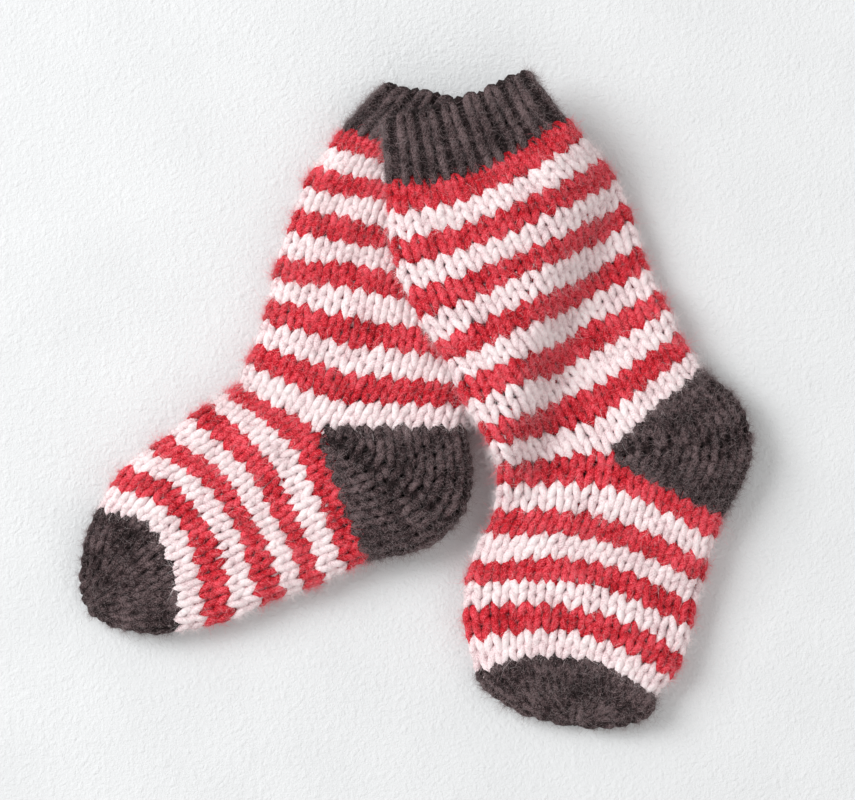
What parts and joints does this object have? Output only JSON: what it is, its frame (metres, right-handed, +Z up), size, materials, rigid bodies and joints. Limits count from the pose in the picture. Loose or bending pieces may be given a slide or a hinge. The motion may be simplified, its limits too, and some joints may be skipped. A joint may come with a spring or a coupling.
{
  "type": "pair of knitted baby socks",
  "caption": "Pair of small knitted socks lying flat, one partly over the other: ribbed cuff, striped leg and foot, contrast heel and toe, hollow and open at the cuff.",
  "frame": {"origin": "middle of the pair's outline on the surface it lies on", "axes": "+Z up out of the surface, +Y from the toes towards the cuffs, +X from the lower sock towards the sock on top"},
  "size_m": [0.1832, 0.1787, 0.0227],
  "materials": {
    "charcoal_wool": "ribbed and stocking-stitch knitted wool, heathered dark grey, fuzzy",
    "red_wool": "stocking-stitch knitted wool, red, fuzzy",
    "white_wool": "stocking-stitch knitted wool, off-white, fuzzy"
  },
  "bodies": {
    "under_sock": {"under_sock_cuff": "charcoal_wool", "under_sock_leg_red_1": "red_wool", "under_sock_leg_white_1": "white_wool", "under_sock_leg_red_2": "red_wool", "under_sock_leg_white_2": "white_wool", "under_sock_leg_red_3": "red_wool", "under_sock_leg_white_3": "white_wool", "under_sock_leg_red_4": "red_wool", "under_sock_leg_white_4": "white_wool", "under_sock_leg_red_5": "red_wool", "under_sock_leg_white_5": "white_wool", "under_sock_leg_red_6": "red_wool", "under_sock_leg_white_6": "white_wool", "under_sock_heel": "charcoal_wool", "under_sock_foot_red_1": "red_wool", "under_sock_foot_white_1": "white_wool", "under_sock_foot_red_2": "red_wool", "under_sock_foot_white_2": "white_wool", "under_sock_foot_red_3": "red_wool", "under_sock_foot_white_3": "white_wool", "under_sock_foot_red_4": "red_wool", "under_sock_foot_white_4": "white_wool", "under_sock_toe": "charcoal_wool"},
    "upper_sock": {"upper_sock_cuff": "charcoal_wool", "upper_sock_leg_red_1": "red_wool", "upper_sock_leg_white_1": "white_wool", "upper_sock_leg_red_2": "red_wool", "upper_sock_leg_white_2": "white_wool", "upper_sock_leg_red_3": "red_wool", "upper_sock_leg_white_3": "white_wool", "upper_sock_leg_red_4": "red_wool", "upper_sock_leg_white_4": "white_wool", "upper_sock_leg_red_5": "red_wool", "upper_sock_leg_white_5": "white_wool", "upper_sock_leg_red_6": "red_wool", "upper_sock_leg_white_6": "white_wool", "upper_sock_heel": "charcoal_wool", "upper_sock_foot_red_1": "red_wool", "upper_sock_foot_white_1": "white_wool", "upper_sock_foot_red_2": "red_wool", "upper_sock_foot_white_2": "white_wool", "upper_sock_foot_red_3": "red_wool", "upper_sock_foot_white_3": "white_wool", "upper_sock_foot_red_4": "red_wool", "upper_sock_foot_white_4": "white_wool", "upper_sock_toe": "charcoal_wool"}
  },
  "joints": [
    {"name": "lift_off", "type": "slide", "parent": "under_sock", "child": "upper_sock", "axis": [0, 0, 1], "range_m": [0, 0.08]}
  ]
}
